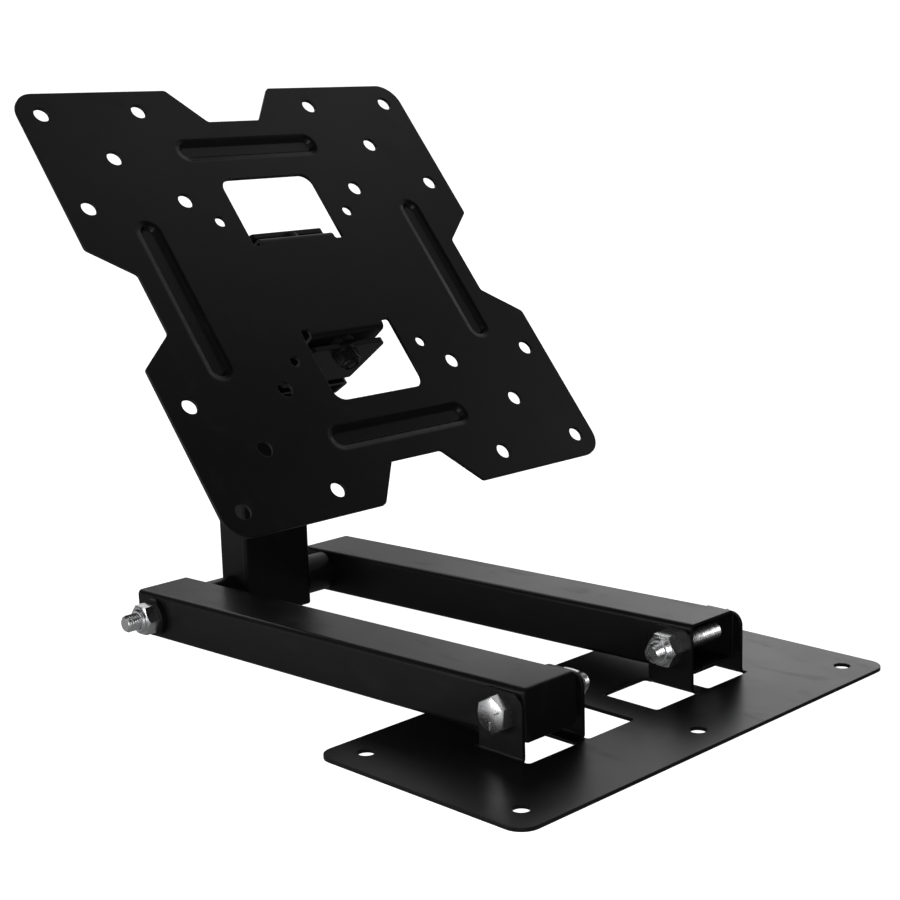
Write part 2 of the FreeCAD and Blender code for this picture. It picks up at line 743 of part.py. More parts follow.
def every_part():
    """Each named piece of the stand in its place."""
    right_tube = arm()
    right_inner_washer, right_outer_washer = near_washers(inner_lug_face)
    left_outer_washer, left_inner_washer = near_washers(-outer_lug_start)
    upper_bush, lower_bush = swivel_bushes()
    parts = {
        "base_plate": base_plate(),
        "near_bolt_right": near_bolt(),
        "near_bolt_left": mirrored(near_bolt()),
        "near_nut_right": near_nut(),
        "near_nut_left": mirrored(near_nut()),
        "near_washer_right_inner": right_inner_washer,
        "near_washer_right_outer": right_outer_washer,
        "near_washer_left_inner": left_inner_washer,
        "near_washer_left_outer": left_outer_washer,
        "arm_right": on_arm(right_tube, 1),
        "arm_left": on_arm(right_tube, -1),
        "cap_left_near": on_arm(near_cap(), -1),
        "cap_left_far": on_arm(far_cap(), -1),
        "cap_right_far": on_arm(far_cap(), 1),
        "far_bolt": far_bolt(),
        "far_nut": far_nut(),
        "far_washer_right": far_washer(1),
        "far_washer_left": far_washer(-1),
        "spacer_right": spacer(1),
        "spacer_left": spacer(-1),
        "column": column(),
        "column_foot": column_foot(),
        "column_cap": column_cap(),
        "yoke": yoke(),
        "fork": fork(),
        "tilt_bolt": tilt_bolt(),
        "tilt_nut": tilt_nut(),
        "tilt_washer_right": tilt_washer(1),
        "tilt_washer_left": tilt_washer(-1),
        "swivel_pin": swivel_pin(),
        "swivel_nut": swivel_nut(),
        "swivel_washer": swivel_washer(),
        "swivel_bush_upper": upper_bush,
        "swivel_bush_lower": lower_bush,
        "tv_plate": tv_plate(),
    }
    return parts


os.makedirs("parts", exist_ok=True)
for name, shape in every_part().items():
    solid = shape.Solids[0]
    solid.exportStep("parts/" + name + ".step")
    print(name, "solids", len(shape.Solids), "valid", shape.isValid(), "volume", round(shape.Volume, 1))
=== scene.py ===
# %% [markdown]
# # A tilting table stand for a flat screen
# The stand is a drilled base sheet, two box arms, an upright tube and a folded head that carries
# a square screen plate. All of it is black powder-coated steel, held by zinc-plated M8 bolts.
# The solid parts are imported already in place, so this script only adds finish, screw threads,
# nut inserts, the studio and the camera.

# %% Load the frame
import json
import math
import bmesh
import bpy
from mathutils import Matrix, Vector


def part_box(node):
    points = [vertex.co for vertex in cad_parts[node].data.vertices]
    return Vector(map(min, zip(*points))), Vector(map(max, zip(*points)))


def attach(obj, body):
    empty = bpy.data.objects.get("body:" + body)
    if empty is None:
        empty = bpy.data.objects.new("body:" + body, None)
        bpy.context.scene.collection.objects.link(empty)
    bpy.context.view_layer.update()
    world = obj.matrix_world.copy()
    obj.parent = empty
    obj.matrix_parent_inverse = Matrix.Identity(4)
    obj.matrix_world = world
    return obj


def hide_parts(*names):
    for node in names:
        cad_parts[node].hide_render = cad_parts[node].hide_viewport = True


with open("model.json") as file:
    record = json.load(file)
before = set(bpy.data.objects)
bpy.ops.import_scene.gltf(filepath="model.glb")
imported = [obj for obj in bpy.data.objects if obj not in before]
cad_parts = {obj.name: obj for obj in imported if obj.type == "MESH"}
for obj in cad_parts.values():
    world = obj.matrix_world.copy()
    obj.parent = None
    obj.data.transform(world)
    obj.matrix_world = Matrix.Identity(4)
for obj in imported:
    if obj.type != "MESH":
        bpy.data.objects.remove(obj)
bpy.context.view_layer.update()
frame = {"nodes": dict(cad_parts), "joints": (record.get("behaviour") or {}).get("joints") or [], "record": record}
MM = 0.001


def as_lists(corners):
    return [[round(value, 6) for value in corner] for corner in corners]


# %% [markdown]
# A material or a shape rule is a sum, and node graphs hide sums. This small class wraps a node
# socket, so a rule can be written as an ordinary Python expression, with the number on either side.
# It serves shader trees and geometry trees alike, because both share the same Math node.

# %% A socket that can be used in sums
class Wire:
    def __init__(self, tree, socket):
        self.tree = tree
        self.socket = socket

    def maths(self, operation, *values, clamp=False):
        settings = {"operation": operation, "use_clamp": clamp}
        return out(self.tree, build(self.tree, "ShaderNodeMath", settings, values))

    def __add__(self, other):
        return self.maths("ADD", self, other)

    def __radd__(self, other):
        return self.maths("ADD", other, self)

    def __sub__(self, other):
        return self.maths("SUBTRACT", self, other)

    def __rsub__(self, other):
        return self.maths("SUBTRACT", other, self)

    def __mul__(self, other):
        return self.maths("MULTIPLY", self, other)

    def __rmul__(self, other):
        return self.maths("MULTIPLY", other, self)

    def __truediv__(self, other):
        return self.maths("DIVIDE", self, other)

    def between(self, low, high):
        """0 at low, 1 at high, straight in between and held past both ends."""
        return self.maths("MULTIPLY", self - low, 1 / (high - low), clamp=True)


def build(tree, kind, settings=None, values=()):
    """Add one node: its settings first, then its sockets by order or by name."""
    made = tree.nodes.new(kind)
    for name, value in (settings or {}).items():
        setattr(made, name, value)
    pairs = values.items() if isinstance(values, dict) else enumerate(values)
    for key, value in pairs:
        if isinstance(value, Wire):
            tree.links.new(value.socket, made.inputs[key])
        else:
            made.inputs[key].default_value = value
    return made


def out(tree, made, name=0):
    """One output of a node, by name or by order, ready for sums."""
    return Wire(tree, made.outputs[name])


print("socket class ready")

# %% [markdown]
# Every finish starts from the same two things: the place on the piece in metres, and cloudy noise
# at a size given in millimetres. Naming the size in millimetres keeps the grain true to scale.
# A Mix node has a set of sockets for each kind of value, so those for colours are named here.

# %% Helpers that every finish uses
CLOUD_ROUGHNESS = 0.55
MIX_SHARE, MIX_FIRST, MIX_SECOND, MIX_RESULT = 0, 6, 7, 2
EDGE_SAMPLES = 4


def place(tree):
    return out(tree, build(tree, "ShaderNodeTexCoord"), "Object")


def cloud(tree, spot, size_mm, detail=3.0, stretch=(1.0, 1.0, 1.0)):
    """Soft noise whose blotches are about size_mm across."""
    mapped = build(tree, "ShaderNodeMapping", None, {"Vector": spot, "Scale": stretch})
    values = {
        "Vector": out(tree, mapped),
        "Scale": 1 / MM / size_mm,
        "Detail": detail,
        "Roughness": CLOUD_ROUGHNESS,
    }
    return out(tree, build(tree, "ShaderNodeTexNoise", None, values), "Fac")


def two_colours(tree, share, first, second):
    """From the first colour where the share is 0 to the second where it is 1."""
    sockets = {MIX_SHARE: share, MIX_FIRST: (*first, 1.0), MIX_SECOND: (*second, 1.0)}
    return out(tree, build(tree, "ShaderNodeMix", {"data_type": "RGBA"}, sockets), MIX_RESULT)


def relief(tree, height, depth_mm, normal=None):
    """Turn a height from 0 to 1 into a bump of the given depth."""
    values = {"Height": height, "Distance": depth_mm * MM, "Strength": 1.0}
    if normal:
        values["Normal"] = normal
    return out(tree, build(tree, "ShaderNodeBump", None, values))


def soft_edges(tree, radius_mm):
    """Shade sharp edges as if they were rounded a little."""
    settings = {"samples": EDGE_SAMPLES}
    return out(tree, build(tree, "ShaderNodeBevel", settings, {"Radius": radius_mm * MM}))


def finish(name, paint):
    """Make one material; paint(tree, spot) returns the values of its Principled sockets."""
    material = bpy.data.materials.new(name)
    material.use_nodes = True
    tree = material.node_tree
    tree.nodes.clear()
    surface = build(tree, "ShaderNodeBsdfPrincipled", None, paint(tree, place(tree)))
    output = tree.nodes.new("ShaderNodeOutputMaterial")
    tree.links.new(surface.outputs[0], output.inputs[0])
    print("finish", name)
    return material


# %% [markdown]
# Powder coat is sprayed on dry and baked. It comes out as an even satin skin with a fine orange
# peel, a little thicker and shinier in patches, and a few dull rubs where the parts were handled.
# The peel is bump noise of about a millimetre, the patches only change the gloss, and the rubs
# are a little paler too. A carbon-black coat throws little back at a steep look and shines at a
# grazing one, which a low specular level gives.

# %% Black powder coat
COAT_BLACK = (0.0085, 0.0085, 0.009)
COAT_RUBBED = (0.014, 0.014, 0.0145)
PEEL_DEPTH_MM = 0.012
FORMED_EDGE_MM = 0.6
DARK_SPECULAR = 0.2


def paint_powder_coat(tree, spot, form=soft_edges):
    patches = cloud(tree, spot, 38, 2.0)
    rubs = cloud(tree, spot, 9, 4.0, (1.0, 0.35, 1.0)).between(0.56, 0.72)
    peel = cloud(tree, spot, 0.9, 1.0)
    grain = cloud(tree, spot, 0.35, 1.0)
    skin = peel * 0.8 + grain * 0.2
    return {
        "Base Color": two_colours(tree, rubs * 0.5, COAT_BLACK, COAT_RUBBED),
        "Roughness": 0.27 + 0.10 * patches + 0.07 * rubs,
        "Normal": relief(tree, skin, PEEL_DEPTH_MM, form(tree, FORMED_EDGE_MM)),
        "Specular IOR Level": DARK_SPECULAR,
    }


powder_coat = finish("black_powder_coat", paint_powder_coat)

# %% [markdown]
# The four beads of the screen plate are pressed into thin sheet, and sheet never bends sharply:
# it also dips a little beside the tool. The solid has the bead itself, and this finish adds the
# soft shoulders. All four beads fold onto one by symmetry, so one distance serves them all. The
# back of the plate shows the same form the other way round.

# %% Soft shoulders beside the beads
BEAD_LINE = 77.0 * MM
BEAD_HALF = 34.8 * MM
SHOULDER = (2.3 * MM, 6.8 * MM)
SHOULDER_DIP_MM = 1.5
RIGHT = Vector((1, 0, 0))

swivel = next(joint for joint in frame["joints"] if joint["name"] == "swivel")
swivel_axis = Vector(swivel["axis"]).normalized()
swivel_point = Vector(swivel["pos_m"])


def share_along(tree, vector, direction):
    """The length of a vector along a fixed direction."""
    settings = {"operation": "DOT_PRODUCT"}
    dotted = build(tree, "ShaderNodeVectorMath", settings, [vector, tuple(direction)])
    return out(tree, dotted, "Value")


def to_segment(run, offset):
    """Distance from the middle line of a bead that is BEAD_HALF long each way."""
    past = run.maths("MAXIMUM", run - BEAD_HALF, 0.0)
    aside = offset.maths("ABSOLUTE", offset - BEAD_LINE)
    return past.maths("SQRT", past * past + aside * aside)


def pressed_form(tree, radius_mm):
    """The soft edges, with an S-shaped rise from the foot of a bead to the flat sheet."""
    spot = place(tree)
    across = share_along(tree, spot, RIGHT)
    up = share_along(tree, spot, swivel_axis) - swivel_point.dot(swivel_axis)
    u, v = across.maths("ABSOLUTE", across), up.maths("ABSOLUTE", up)
    away = u.maths("MINIMUM", to_segment(u, v), to_segment(v, u))
    rise = away.between(*SHOULDER)
    smooth = rise * rise * (3.0 - 2.0 * rise) - 1.0
    facing = out(tree, build(tree, "ShaderNodeTexCoord"), "Normal")
    side = share_along(tree, facing, RIGHT.cross(swivel_axis))
    return relief(tree, smooth * side, SHOULDER_DIP_MM, soft_edges(tree, radius_mm))


def paint_pressed_coat(tree, spot):
    return paint_powder_coat(tree, spot, pressed_form)


pressed_coat = finish("black_powder_coat_pressed", paint_pressed_coat)

# %% [markdown]
# Zinc plate is a thin bright metal layer. Barrel plating leaves it slightly cloudy, with tiny
# knocks on the corners, so its gloss wanders and its colour drifts between warm and cold grey.

# %% Bright zinc plate
ZINC_WARM = (0.90, 0.90, 0.89)
ZINC_COLD = (0.76, 0.77, 0.79)
KNOCK_DEPTH_MM = 0.03
FORGED_EDGE_MM = 0.08


def paint_zinc(tree, spot):
    haze = cloud(tree, spot, 2.6, 4.0)
    knocks = cloud(tree, spot, 0.8, 3.0).between(0.55, 0.75)
    skin = haze * 0.6 + knocks * 0.4
    return {
        "Base Color": two_colours(tree, haze.between(0.35, 0.65), ZINC_WARM, ZINC_COLD),
        "Metallic": 1.0,
        "Roughness": 0.20 + 0.16 * haze + 0.10 * knocks,
        "Normal": relief(tree, skin, KNOCK_DEPTH_MM, soft_edges(tree, FORGED_EDGE_MM)),
    }


zinc = finish("bright_zinc", paint_zinc)

# %% [markdown]
# The caps and the thick pivot washers are moulded in black plastic. It is duller than the paint
# and shows a fine leather grain with a few pale scuffs on its face.

# %% Black moulded plastic
PLASTIC_BLACK = (0.007, 0.007, 0.0075)
PLASTIC_SCUFFED = (0.016, 0.016, 0.016)
GRAIN_DEPTH_MM = 0.02


def paint_plastic(tree, spot):
    grain = cloud(tree, spot, 0.5, 2.0)
    scuffs = cloud(tree, spot, 5, 4.0, (1.0, 1.0, 0.3)).between(0.58, 0.70)
    return {
        "Base Color": two_colours(tree, scuffs * 0.6, PLASTIC_BLACK, PLASTIC_SCUFFED),
        "Roughness": 0.42 + 0.12 * grain + 0.10 * scuffs,
        "Normal": relief(tree, grain, GRAIN_DEPTH_MM, soft_edges(tree, FORMED_EDGE_MM)),
        "Specular IOR Level": DARK_SPECULAR,
    }


plastic = finish("black_plastic", paint_plastic)

# %% [markdown]
# The head is held by blackened steel. The oxide layer is part of the metal, so it keeps a metal
# shine under its dark colour, and it wears to a browner grey where a spanner touched it.

# %% Blackened steel
OXIDE_BLACK = (0.030, 0.030, 0.032)
OXIDE_WORN = (0.085, 0.080, 0.076)
OXIDE_DEPTH_MM = 0.02
TURNED_EDGE_MM = 0.2


def paint_blackened(tree, spot):
    oxide = cloud(tree, spot, 1.8, 3.0)
    worn = cloud(tree, spot, 0.7, 2.0).between(0.60, 0.75)
    return {
        "Base Color": two_colours(tree, worn, OXIDE_BLACK, OXIDE_WORN),
        "Metallic": 0.85,
        "Roughness": 0.30 + 0.15 * oxide,
        "Normal": relief(tree, oxide, OXIDE_DEPTH_MM, soft_edges(tree, TURNED_EDGE_MM)),
    }


blackened = finish("blackened_steel", paint_blackened)

# %% [markdown]
# The lock nuts grip the thread with a ring of nylon. It is a pale, slightly waxy plastic, so its
# colour is a cool off-white and its gloss is low.

# %% Pale nylon
NYLON_SHADE = (0.52, 0.55, 0.58)
NYLON_PALE = (0.66, 0.68, 0.70)
WAX_DEPTH_MM = 0.02


def paint_nylon(tree, spot):
    waxy = cloud(tree, spot, 1.2, 3.0)
    return {
        "Base Color": two_colours(tree, waxy, NYLON_SHADE, NYLON_PALE),
        "Roughness": 0.38 + 0.15 * waxy,
        "Normal": relief(tree, waxy, WAX_DEPTH_MM),
    }


nylon = finish("pale_nylon", paint_nylon)

# %% [markdown]
# Each imported solid gets one of these finishes from the slot that the record names for it. The
# screen plate then changes its coat for the one with the soft shoulders.

# %% Give every solid its finish
FINISHES = {
    "black_powder_coat": powder_coat,
    "zinc_steel": zinc,
    "black_plastic": plastic,
    "black_fasteners": blackened,
}
for part in frame["record"]["subparts"]:
    solid = frame["nodes"][part["node"]]
    solid.data.materials.clear()
    solid.data.materials.append(FINISHES[part["material_slot"]])
frame["nodes"]["tv_plate"].data.materials[0] = pressed_coat

# %% [markdown]
# An M8 screw thread is a groove of 1.25 mm pitch wound round the shank. Geometry Nodes can make it
# from a flat grid: one side of the grid runs along the screw and the other runs round it. Shifting
# each row by its share of a turn lays the rows along the helix, so a few rows draw a clean flank.
# The radius then only depends on where a row stands in its pitch. Both ends are turned to a
# chamfer and closed with a flat disc.

# %% The node tree of a screw thread
THREAD_PITCH = 1.25 * MM
THREAD_DEPTH = 0.77 * MM
THREAD_FLANK = (0.10, 0.90)
THREAD_SIZES = ["Length", "Radius", "Pitch", "Depth", "Chamfer"]
ROWS_PER_PITCH = 6
ROW_NUDGE = 0.001
TIP_CHAMFER = 0.9 * MM
ROOT_SLOPE = 2.0
SHANK_SIDES = 40
SEAM_GAP = 0.002 * MM


def new_tree(name, sizes):
    """A geometry tree with named float inputs, a material input and a geometry output."""
    tree = bpy.data.node_groups.new(name, "GeometryNodeTree")
    tree.interface.new_socket("Geometry", in_out="OUTPUT", socket_type="NodeSocketGeometry")
    for size in sizes:
        tree.interface.new_socket(size, in_out="INPUT", socket_type="NodeSocketFloat")
    tree.interface.new_socket("Material", in_out="INPUT", socket_type="NodeSocketMaterial")
    return tree


def end_tree(tree, parts, given):
    """Join the parts, weld their seams, make them real and give them the material."""
    joined = tree.nodes.new("GeometryNodeJoinGeometry")
    for part in parts:
        tree.links.new(part.socket, joined.inputs[0])
    values = {"Geometry": out(tree, joined), "Distance": SEAM_GAP}
    welded = build(tree, "GeometryNodeMergeByDistance", None, values)
    real = build(tree, "GeometryNodeRealizeInstances", None, {"Geometry": out(tree, welded)})
    values = {"Geometry": out(tree, real), "Material": out(tree, given, "Material")}
    coated = build(tree, "GeometryNodeSetMaterial", None, values)
    finished = tree.nodes.new("NodeGroupOutput")
    tree.links.new(coated.outputs[0], finished.inputs[0])


def end_disc(tree, radius, height):
    """A flat disc across one end of the screw."""
    values = {"Vertices": SHANK_SIDES, "Radius": radius}
    disc = build(tree, "GeometryNodeMeshCircle", {"fill_type": "TRIANGLE_FAN"}, values)
    lift = build(tree, "ShaderNodeCombineXYZ", None, [0.0, 0.0, height])
    values = {"Geometry": out(tree, disc), "Translation": out(tree, lift)}
    return out(tree, build(tree, "GeometryNodeTransform", None, values))


def thread_tree():
    tree = new_tree("screw_thread", THREAD_SIZES)
    given = tree.nodes.new("NodeGroupInput")
    length, radius, pitch, depth, chamfer = [out(tree, given, size) for size in THREAD_SIZES]
    turns = (length + pitch) / pitch
    rows = turns * ROWS_PER_PITCH + 1
    values = {"Size X": 1.0, "Size Y": 1.0, "Vertices X": rows, "Vertices Y": SHANK_SIDES + 1}
    grid = build(tree, "GeometryNodeMeshGrid", None, values)
    position = out(tree, build(tree, "GeometryNodeInputPosition"))
    spot = build(tree, "ShaderNodeSeparateXYZ", None, [position])
    lengthwise = out(tree, spot, "X") + 0.5
    around = out(tree, spot, "Y") + 0.5
    step = lengthwise * turns
    free_height = (step + around - 1.0) * pitch
    height = length.maths("MINIMUM", length, free_height.maths("MAXIMUM", free_height, 0.0))
    phase = step.maths("FRACT", step + ROW_NUDGE)
    ridge = phase.maths("ABSOLUTE", phase * 2.0 - 1.0)
    cut = radius - depth * ridge.between(*THREAD_FLANK)
    tip = radius - chamfer + (length - height)
    root = radius - chamfer + height * ROOT_SLOPE
    limit = tip.maths("MINIMUM", tip, root)
    reach = cut.maths("MINIMUM", cut, limit)
    turn = around * math.tau
    x = reach * turn.maths("COSINE", turn)
    y = reach * turn.maths("SINE", turn)
    point = build(tree, "ShaderNodeCombineXYZ", None, [x, y, height])
    values = {"Geometry": out(tree, grid), "Position": out(tree, point)}
    wound = build(tree, "GeometryNodeSetPosition", None, values)
    discs = [end_disc(tree, radius - chamfer, end) for end in (length, 0.0)]
    end_tree(tree, [out(tree, wound)] + discs, given)
    return tree


THREAD_TREE = thread_tree()
print("thread tree with", len(THREAD_TREE.nodes), "nodes")

# %% [markdown]
# A tree only makes something on an object with a modifier. The helper sets the named inputs by
# their identifiers, evaluates the object once and keeps the result as a plain mesh.

# %% Run a tree and keep a plain mesh
DOUBLES_GAP = 0.001 * MM
SMOOTH_ANGLE = math.radians(35.0)


def add_object(name, data):
    """A new object at the origin, linked to the scene."""
    made = bpy.data.objects.new(name, data)
    bpy.context.scene.collection.objects.link(made)
    return made


def as_mesh(work, name):
    """Keep what a bmesh holds as a mesh, and free the bmesh."""
    mesh = bpy.data.meshes.new(name)
    work.to_mesh(mesh)
    work.free()
    return mesh


def grow(tree, sizes, material):
    """The mesh that a geometry tree makes with these named sizes."""
    carrier = add_object("carrier", bpy.data.meshes.new("carrier"))
    modifier = carrier.modifiers.new("grow", "NODES")
    modifier.node_group = tree
    for item in tree.interface.items_tree:
        if item.in_out == "INPUT" and item.name in sizes:
            modifier[item.identifier] = float(sizes[item.name])
        elif item.in_out == "INPUT" and item.name == "Material":
            modifier[item.identifier] = material
    carrier.update_tag()
    graph = bpy.context.evaluated_depsgraph_get()
    mesh = bpy.data.meshes.new_from_object(carrier.evaluated_get(graph))
    carrier.modifiers.remove(modifier)
    bpy.data.objects.remove(carrier)
    return mesh


def add_piece(name, meshes, body, material):
    """Join meshes that are already in place into one piece that rides on a body."""
    work = bmesh.new()
    for mesh in meshes:
        work.from_mesh(mesh)
    bmesh.ops.remove_doubles(work, verts=work.verts, dist=DOUBLES_GAP)
    bmesh.ops.recalc_face_normals(work, faces=work.faces)
    joined = as_mesh(work, name)
    # A grown mesh numbers its material from 1, and clearing the list sets that back to 0.
    joined.materials.clear()
    joined.materials.append(material)
    joined.shade_smooth()
    joined.set_sharp_from_angle(angle=SMOOTH_ANGLE)
    piece = add_object(name, joined)
    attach(piece, body)
    print(name, len(joined.polygons), "faces on", body)
    return piece


# %% [markdown]
# A hexagon head is turned on top after it is forged, which leaves a round face and a curved
# chamfer on every corner. The same rule draws it here: a ring of points follows the hexagon, and
# each point drops below the top by as much as it stands outside the turned circle.

# %% A hexagon head from one rule
HEX_FLATS = 13.0 * MM
HEX_COLUMNS = 72
SIXTH_TURN = math.tau / 6
TURNED_SHARE = 0.95
TURNED_SLOPE = math.tan(math.radians(30))
HEAD_FACE = HEX_FLATS / 2 * TURNED_SHARE
MARK_SIZE = (3.0 * MM, 0.6 * MM, 0.3 * MM)
MARK_COUNT = 3
MARK_MIDDLE = HEX_FLATS * 0.30
MARK_TURN = 0.5


def ring_mesh(name, rings, closed):
    """A mesh from rings of points; if closed, a flat face ends it at both ends."""
    work = bmesh.new()
    rows = [[work.verts.new(point) for point in ring] for ring in rings]
    count = len(rows[0])
    for low, high in zip(rows, rows[1:]):
        for index in range(count):
            after = (index + 1) % count
            work.faces.new((low[index], low[after], high[after], high[index]))
    if closed:
        work.faces.new(list(reversed(rows[0])))
        work.faces.new(rows[-1])
    return as_mesh(work, name)


def hexagon_rings(height):
    foot, shoulder, rim = [], [], []
    for index in range(HEX_COLUMNS):
        angle = math.tau * index / HEX_COLUMNS
        inside = (angle + SIXTH_TURN / 2) % SIXTH_TURN - SIXTH_TURN / 2
        reach = HEX_FLATS / 2 / math.cos(inside)
        drop = (reach - HEAD_FACE) * TURNED_SLOPE
        x, y = math.cos(angle), math.sin(angle)
        foot.append((reach * x, reach * y, 0.0))
        shoulder.append((reach * x, reach * y, height - drop))
        rim.append((HEAD_FACE * x, HEAD_FACE * y, height))
    return [foot, shoulder, rim]


def head_marks(height):
    """Three short raised strokes, the plain grade marks of a bolt, half sunk in its face."""
    length, width, rise = MARK_SIZE
    shape = Matrix.Diagonal((length, width, rise * 2, 1.0))
    outwards = Matrix.Translation((MARK_MIDDLE, 0.0, height))
    marks = []
    for index in range(MARK_COUNT):
        box = bmesh.new()
        bmesh.ops.create_cube(box, size=1.0)
        turn = Matrix.Rotation(math.tau * index / MARK_COUNT + MARK_TURN, 4, "Z")
        box.transform(turn @ outwards @ shape)
        marks.append(as_mesh(box, "mark"))
    return marks


print("head face radius", round(HEAD_FACE / MM, 2), "mm")

# %% [markdown]
# A bolt is then a head, a plain shank and a threaded end. Its length and its place come from the
# solid that it replaces: the box of that solid gives the axis, the seat and the tip.

# %% Bolts with real threads
BOLT_RADIUS = 4.0 * MM
HEAD_HEIGHT = 5.3 * MM
CREST_GAP = 0.02 * MM


def round_ring(radius, height, sides):
    """Points on a circle about the Z axis."""
    angles = [math.tau * index / sides for index in range(sides)]
    return [(radius * math.cos(angle), radius * math.sin(angle), height) for angle in angles]


def plain_shank(length):
    """A smooth closed cylinder from the seat to the start of the thread."""
    rings = [round_ring(BOLT_RADIUS, height, SHANK_SIDES) for height in (0.0, length)]
    return ring_mesh("shank", rings, True)


def placed(meshes, matrix):
    for mesh in meshes:
        mesh.transform(matrix)
    return meshes


def thread_mesh(length, material, radius=BOLT_RADIUS, pitch=THREAD_PITCH):
    """A threaded rod on the Z axis; the groove is as deep as its pitch asks."""
    sizes = {
        "Length": length,
        "Radius": radius - CREST_GAP,
        "Pitch": pitch,
        "Depth": THREAD_DEPTH * pitch / THREAD_PITCH,
        "Chamfer": TIP_CHAMFER,
    }
    return grow(THREAD_TREE, sizes, material)


def along(direction, seat):
    """The matrix that turns +Z onto a direction and moves the origin to the seat."""
    turn = direction.normalized().to_track_quat("Z", "Y").to_matrix().to_4x4()
    return Matrix.Translation(seat) @ turn


def cross_bolt(node, head_side, body, material, threaded):
    """A bolt along X whose head is on the given side of its solid's box."""
    low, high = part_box(node)
    middle = (low + high) / 2
    outward, inward = Vector((head_side, 0, 0)), Vector((-head_side, 0, 0))
    head_end = high.x if head_side > 0 else low.x
    seat = Vector((head_end - head_side * HEAD_HEIGHT, middle.y, middle.z))
    shank = high.x - low.x - HEAD_HEIGHT
    threaded = min(threaded, shank)
    head = [ring_mesh("head", hexagon_rings(HEAD_HEIGHT), True)] + head_marks(HEAD_HEIGHT)
    placed(head, along(outward, seat))
    thread_seat = seat - outward * (shank - threaded)
    screw = placed([thread_mesh(threaded, material)], along(inward, thread_seat))
    if shank > threaded:
        screw += placed([plain_shank(shank - threaded)], along(inward, seat))
    piece = add_piece(node + "_threaded", head + screw, body, material)
    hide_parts(node)
    return piece


FULL_THREAD = 60 * MM
PART_THREAD = 24 * MM
cross_bolt("near_bolt_right", 1, "base", zinc, FULL_THREAD)
cross_bolt("near_bolt_left", -1, "base", zinc, FULL_THREAD)
cross_bolt("far_bolt", 1, "arms", zinc, PART_THREAD)
cross_bolt("tilt_bolt", 1, "head", blackened, PART_THREAD)

# %% [markdown]
# The swivel pin has no head: it is welded into the upper flange, and only its lower end carries
# the lock nut. It is thinner than the bolts, 6 mm with a pitch of 1 mm. Its axis and middle come
# from the swivel joint itself.

# %% The swivel pin
PIN_RADIUS = 3.0 * MM
PIN_PITCH = 1.0 * MM


def span_along(node, axis, point):
    """How far a solid reaches each way along an axis through a point."""
    reaches = [(vertex.co - point).dot(axis) for vertex in frame["nodes"][node].data.vertices]
    return min(reaches), max(reaches)


pin_low, pin_high = span_along("swivel_pin", swivel_axis, swivel_point)
pin_seat = swivel_point + swivel_axis * pin_high
pin = [thread_mesh(pin_high - pin_low, blackened, PIN_RADIUS, PIN_PITCH)]
pin = placed(pin, along(-swivel_axis, pin_seat))
pin_piece = add_piece("swivel_pin_threaded", pin, "head", blackened)
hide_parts("swivel_pin")

# %% [markdown]
# The nylon ring sits in the collar of each lock nut and swells a little where the thread cuts into
# it. It is a low round bead here, just proud of the collar. The black nuts of the head have black
# rings.

# %% Nylon rings of the lock nuts
RING_WIDTH = 0.85 * MM
RING_GRIP = 0.1 * MM
RING_RISE = 0.22 * MM
RING_SIDES = 48
RING_STEPS = 8
LEFT = Vector((-1, 0, 0))


def nylon_ring(thread_radius):
    """A round bead about the Z axis, half above the XY plane and half below it."""
    half = RING_WIDTH / 2
    middle = thread_radius - RING_GRIP + half
    rings = []
    for step in range(RING_STEPS + 1):
        angle = math.tau * step / RING_STEPS
        radius = middle + half * math.cos(angle)
        rings.append(round_ring(radius, RING_RISE * math.sin(angle), RING_SIDES))
    return ring_mesh("ring", rings, False)


def ring_on_nut(nut, direction, centre, body, material=nylon, thread_radius=BOLT_RADIUS):
    """Place the ring on the collar end of a nut."""
    reach = span_along(nut, direction, centre)[1]
    mesh = placed([nylon_ring(thread_radius)], along(direction, centre + direction * reach))
    add_piece(nut + "_nylon", mesh, body, material)


def box_middle(node):
    low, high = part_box(node)
    return (low + high) / 2


ring_on_nut("near_nut_left", RIGHT, box_middle("near_nut_left"), "base")
ring_on_nut("near_nut_right", LEFT, box_middle("near_nut_right"), "base")
ring_on_nut("far_nut", LEFT, box_middle("far_nut"), "arms")
ring_on_nut("tilt_nut", LEFT, box_middle("tilt_nut"), "head", plastic)
ring_on_nut("swivel_nut", -swivel_axis, swivel_point, "head", plastic, PIN_RADIUS)

# %% [markdown]
# The studio is a white sheet that runs under the stand and curves up behind it, so it reads as
# plain paper. It is a stage piece and isn't part of the stand. A black part mirrors whatever is
# near it, and a fully white sheet would turn its upright faces grey. So the sheet that is seen
# doesn't light the stand. A dim copy of it does, a little brighter on the left of the stand, where
# the bolt heads look.

# %% White sheet and room
CAMERA_PLACE = Vector((-0.5133, -0.4267, 0.2448))
CAMERA_AIM = Vector((0.6894, 0.6961, -0.2004)).normalized()
CAMERA_UP = Vector((0.1601, 0.1235, 0.9794)).normalized()
SHEET_NEAR = -1.6
SHEET_BEND = 1.4
BEND_RADIUS = 0.8
BEND_STEPS = 12
SHEET_TOP = 3.0
SHEET_HALF_WIDTH = 3.0
SHEET_DROP = 0.2 * MM
PAPER_SHADE = (0.80, 0.80, 0.80)
PAPER_WHITE = (0.84, 0.84, 0.84)
DIM_GLOW = (0.11, 0.11, 0.11)
LEFT_GLOW = (0.48, 0.48, 0.48)
GLOW_FADE = (-0.06, -0.22)


